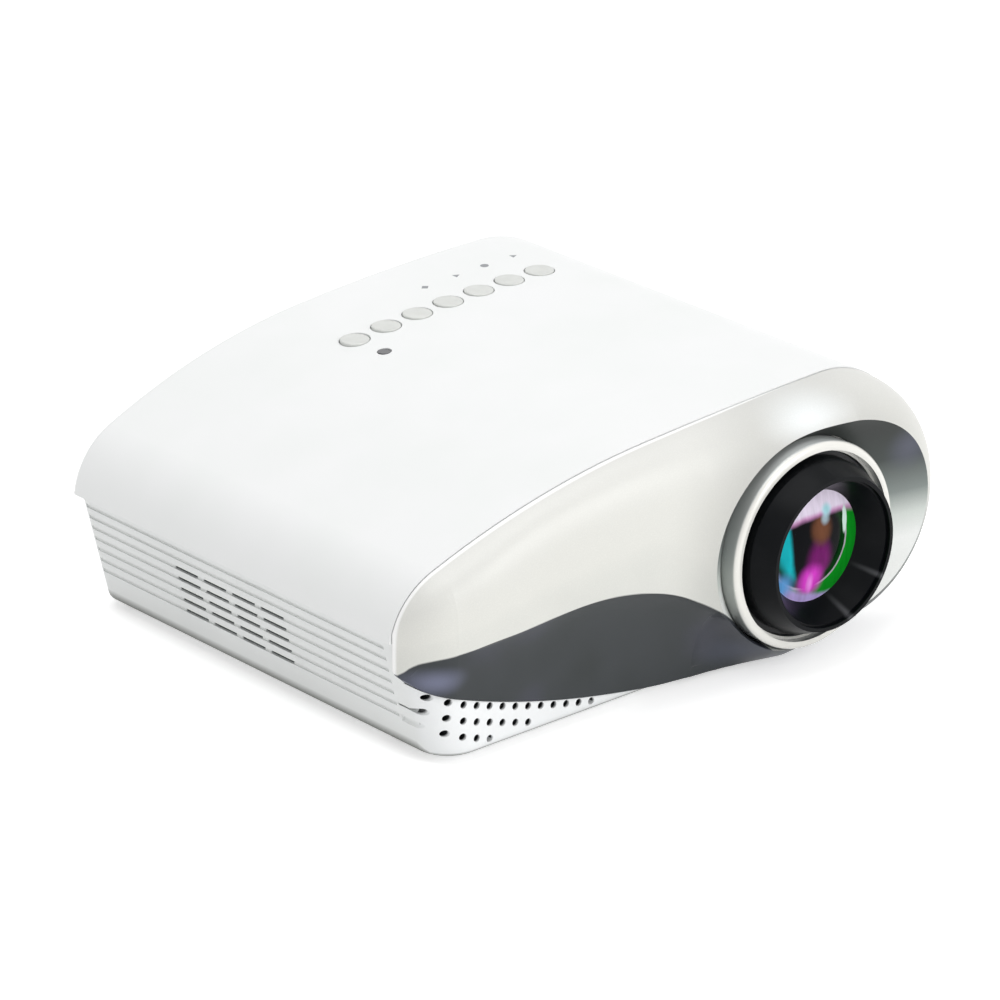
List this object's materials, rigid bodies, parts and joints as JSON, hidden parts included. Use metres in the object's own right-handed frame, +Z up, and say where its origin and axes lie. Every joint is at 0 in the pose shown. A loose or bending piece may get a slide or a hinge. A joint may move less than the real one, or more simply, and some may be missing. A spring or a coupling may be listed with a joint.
{
  "type": "mini projector",
  "caption": "Small LED projector: white two-part case with side louvres, silver rounded front, dished focusing lens, round top buttons, rear sockets and a screw foot.",
  "frame": {"origin": "middle of the box round the part, on the surface it stands on", "axes": "-Y the way the lens looks, +X the lens side, +Z up"},
  "size_m": [0.1934, 0.176, 0.0796],
  "materials": {
    "white_abs": "white moulded plastic, satin to gloss",
    "silver_paint": "pearl silver lacquer on plastic",
    "black_gloss": "black gloss",
    "black_plastic": "black, fine texture",
    "lens_glass": "coated optical glass",
    "acrylic": "clear acrylic",
    "button_plastic": "pale grey translucent",
    "board_laminate": "green solder mask",
    "board_aluminium": "white coated",
    "led_ceramic": "ceramic with yellow phosphor",
    "sink_aluminium": "extruded, plain",
    "capacitor_sleeve": "dark sleeve",
    "cone_paper": "pressed paper",
    "steel": "plated",
    "brass": "turned",
    "rubber": "matte",
    "foot_plastic": "black"
  },
  "bodies": {
    "case": {"audio_jack": "black_plastic", "av_jack": "black_plastic", "base_shell": "white_abs", "button_board": "board_laminate", "button_board_screws": "steel", "capacitors": "capacitor_sleeve", "case_screws": "steel", "collimator_lens": "acrylic", "condenser_holder": "black_plastic", "condenser_lens": "lens_glass", "dc_jack": "black_plastic", "engine_lid": "black_plastic", "engine_screws": "steel", "engine_tray": "black_plastic", "fan_frame": "black_plastic", "field_lens": "acrylic", "foot_nut": "brass", "front_bezel": "silver_paint", "hdmi_socket": "steel", "heat_sink": "sink_aluminium", "holder_screws": "steel", "ir_receiver": "black_plastic", "ir_window": "acrylic", "lcd_panel": "lens_glass", "led_board": "board_aluminium", "led_chip": "led_ceramic", "lens_holder": "black_plastic", "lens_ring": "silver_paint", "main_board": "board_laminate", "main_board_screws": "steel", "processor": "black_plastic", "processor_cooler": "sink_aluminium", "rear_feet": "rubber", "speaker_cone": "cone_paper", "speaker_frame": "black_plastic", "tact_switches": "black_plastic", "top_cover": "white_abs", "tripod_insert": "brass", "usb_socket": "steel", "vga_socket": "steel"},
    "focus_ring": {"focus_ring": "black_gloss"},
    "lens_group": {"lens_cell": "black_gloss", "front_lens": "lens_glass", "lens_spacer": "black_gloss", "rear_lens": "lens_glass", "lens_retainer": "black_gloss"},
    "power_button": {"power_button": "button_plastic"},
    "source_button": {"source_button": "button_plastic"},
    "menu_button": {"menu_button": "button_plastic"},
    "left_button": {"left_button": "button_plastic"},
    "ok_button": {"ok_button": "button_plastic"},
    "right_button": {"right_button": "button_plastic"},
    "back_button": {"back_button": "button_plastic"},
    "fan_rotor": {"fan_rotor": "black_plastic"},
    "foot_stud": {"foot_stud": "steel"},
    "foot_knob": {"foot_knob": "foot_plastic", "foot_pad": "rubber"}
  },
  "joints": [
    {"name": "focus_turn", "type": "hinge", "parent": "case", "child": "focus_ring", "pos_m": [0.0399, -0.07, 0.0362], "axis": [0, -1, 0], "range_deg": [-40, 80]},
    {"name": "lens_slide", "type": "slide", "parent": "case", "child": "lens_group", "axis": [0, -1, 0], "range_m": [-0.00201, 0.00401]},
    {"name": "fan_spin", "type": "hinge", "parent": "case", "child": "fan_rotor", "pos_m": [-0.0705, 0.0204, 0.0294], "axis": [1, 0, 0], "continuous": true},
    {"name": "foot_screw", "type": "slide", "parent": "case", "child": "foot_stud", "axis": [0, 0, -1], "range_m": [0, 0.012]},
    {"name": "foot_turn", "type": "hinge", "parent": "foot_stud", "child": "foot_knob", "pos_m": [-0.005, -0.048, 0.002], "axis": [0, 0, -1], "range_deg": [0, 4325]},
    {"name": "power_press", "type": "slide", "parent": "case", "child": "power_button", "axis": [0, 0, -1], "range_m": [0, 0.0005], "stiffness_N_per_m": 800, "springref_m": -0.0005},
    {"name": "source_press", "type": "slide", "parent": "case", "child": "source_button", "axis": [0, 0, -1], "range_m": [0, 0.0005], "stiffness_N_per_m": 800, "springref_m": -0.0005},
    {"name": "menu_press", "type": "slide", "parent": "case", "child": "menu_button", "axis": [0, 0, -1], "range_m": [0, 0.0005], "stiffness_N_per_m": 800, "springref_m": -0.0005},
    {"name": "left_press", "type": "slide", "parent": "case", "child": "left_button", "axis": [0, 0, -1], "range_m": [0, 0.0005], "stiffness_N_per_m": 800, "springref_m": -0.0005},
    {"name": "ok_press", "type": "slide", "parent": "case", "child": "ok_button", "axis": [0, 0, -1], "range_m": [0, 0.0005], "stiffness_N_per_m": 800, "springref_m": -0.0005},
    {"name": "right_press", "type": "slide", "parent": "case", "child": "right_button", "axis": [0, 0, -1], "range_m": [0, 0.0005], "stiffness_N_per_m": 800, "springref_m": -0.0005},
    {"name": "back_press", "type": "slide", "parent": "case", "child": "back_button", "axis": [0, 0, -1], "range_m": [0, 0.0005], "stiffness_N_per_m": 800, "springref_m": -0.0005}
  ],
  "couplings": [
    {"joint": "lens_slide", "follows": "focus_turn", "m_per_rad": 0.0028648},
    {"joint": "foot_turn", "follows": "foot_screw", "rad_per_m": 6283.2}
  ]
}
